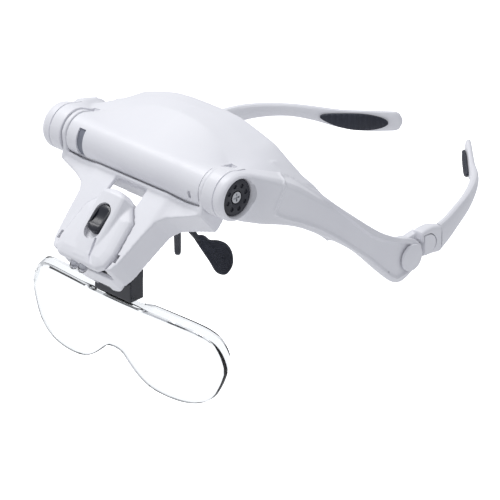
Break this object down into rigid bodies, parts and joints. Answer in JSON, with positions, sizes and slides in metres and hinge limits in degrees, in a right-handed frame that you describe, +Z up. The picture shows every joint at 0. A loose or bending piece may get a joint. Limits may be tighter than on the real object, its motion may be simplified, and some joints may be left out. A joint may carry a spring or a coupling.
{
  "type": "head visor magnifier",
  "caption": "Forehead-worn magnifier with a battery housing, flip-up lens arm, tilting lamp, wide clip-on lens, nose rest and jointed side temples.",
  "frame": {"origin": "middle of the bottom of the bounding box, as worn, under the lens's lower edge", "axes": "+X to the wearer's left, +Y to the back of the head, +Z up"},
  "size_m": [0.1632, 0.2338, 0.1153],
  "materials": {
    "white_plastic": "satin moulded",
    "black_plastic": "satin moulded",
    "black_rubber": "matt, ridged",
    "grey_plastic": "matt",
    "steel": "plated",
    "clear_acrylic": "polished clear",
    "cell_wrap": "printed sleeve, plain",
    "circuit_board": "solder mask"
  },
  "bodies": {
    "visor": {"front_shell": "white_plastic", "rear_cover": "white_plastic", "battery_door": "white_plastic", "cover_screw_left": "steel", "cover_screw_right": "steel", "cell_1": "cell_wrap", "cell_2": "cell_wrap", "cell_3": "cell_wrap", "contact_spring_1": "steel", "contact_spring_2": "steel", "contact_spring_3": "steel", "contact_plate_left": "steel", "contact_plate_right": "steel", "cell_tray": "grey_plastic", "nose_bracket": "black_plastic", "nose_pad_left": "black_rubber", "nose_pad_right": "black_rubber", "pivot_cap_left": "white_plastic", "pivot_cap_right": "white_plastic"},
    "lens_arm": {"yoke_frame": "white_plastic", "pivot_sleeve_left": "grey_plastic", "pivot_sleeve_right": "grey_plastic", "hinge_knob_left": "black_plastic", "hinge_knob_right": "black_plastic", "hinge_screw_left": "steel", "hinge_screw_right": "steel", "clip_pin": "steel"},
    "lamp": {"lamp_cover": "white_plastic", "lamp_base": "white_plastic", "circuit_board": "circuit_board", "led_left": "clear_acrylic", "led_right": "clear_acrylic"},
    "switch": {"slide_switch": "black_plastic"},
    "clip": {"lens_clip": "black_plastic"},
    "lens": {"lens": "clear_acrylic"},
    "temple_left": {"temple_link_left": "white_plastic", "temple_arm_left": "white_plastic", "temple_pad_left": "black_rubber", "button_spring_left": "steel"},
    "button_left": {"release_button_left": "white_plastic"},
    "temple_right": {"temple_link_right": "white_plastic", "temple_arm_right": "white_plastic", "temple_pad_right": "black_rubber", "button_spring_right": "steel"},
    "button_right": {"release_button_right": "white_plastic"}
  },
  "joints": [
    {"name": "lens_arm_tilt", "type": "hinge", "parent": "visor", "child": "lens_arm", "pos_m": [0, -0.07281, 0.0984], "axis": [-1, 0, 0], "range_deg": [-10, 95]},
    {"name": "lamp_tilt", "type": "hinge", "parent": "lens_arm", "child": "lamp", "pos_m": [0, -0.10631, 0.06598], "axis": [1, 0, 0], "range_deg": [-6, 9]},
    {"name": "switch_slide", "type": "slide", "parent": "lamp", "child": "switch", "axis": [0, -0.766, -0.6428], "range_m": [0, 0.0032]},
    {"name": "clip_tilt", "type": "hinge", "parent": "lens_arm", "child": "clip", "pos_m": [0, -0.09724, 0.0544], "axis": [1, 0, 0], "range_deg": [-6, 6]},
    {"name": "lens_slide", "type": "slide", "parent": "clip", "child": "lens", "axis": [0, 0, -1], "range_m": [0, 0.009]},
    {"name": "temple_tilt_left", "type": "hinge", "parent": "visor", "child": "temple_left", "pos_m": [0.08, 0.01219, 0.0494], "axis": [1, 0, 0], "range_deg": [-20, 35]},
    {"name": "release_left", "type": "slide", "parent": "temple_left", "child": "button_left", "axis": [-1, 0, 0], "range_m": [0, 0.0015], "stiffness_N_per_m": 200, "springref_m": -0.001, "deforming": ["button_spring_left"]},
    {"name": "temple_tilt_right", "type": "hinge", "parent": "visor", "child": "temple_right", "pos_m": [-0.08, 0.01219, 0.0494], "axis": [1, 0, 0], "range_deg": [-20, 35]},
    {"name": "release_right", "type": "slide", "parent": "temple_right", "child": "button_right", "axis": [1, 0, 0], "range_m": [0, 0.0015], "stiffness_N_per_m": 200, "springref_m": -0.001, "deforming": ["button_spring_right"]}
  ]
}
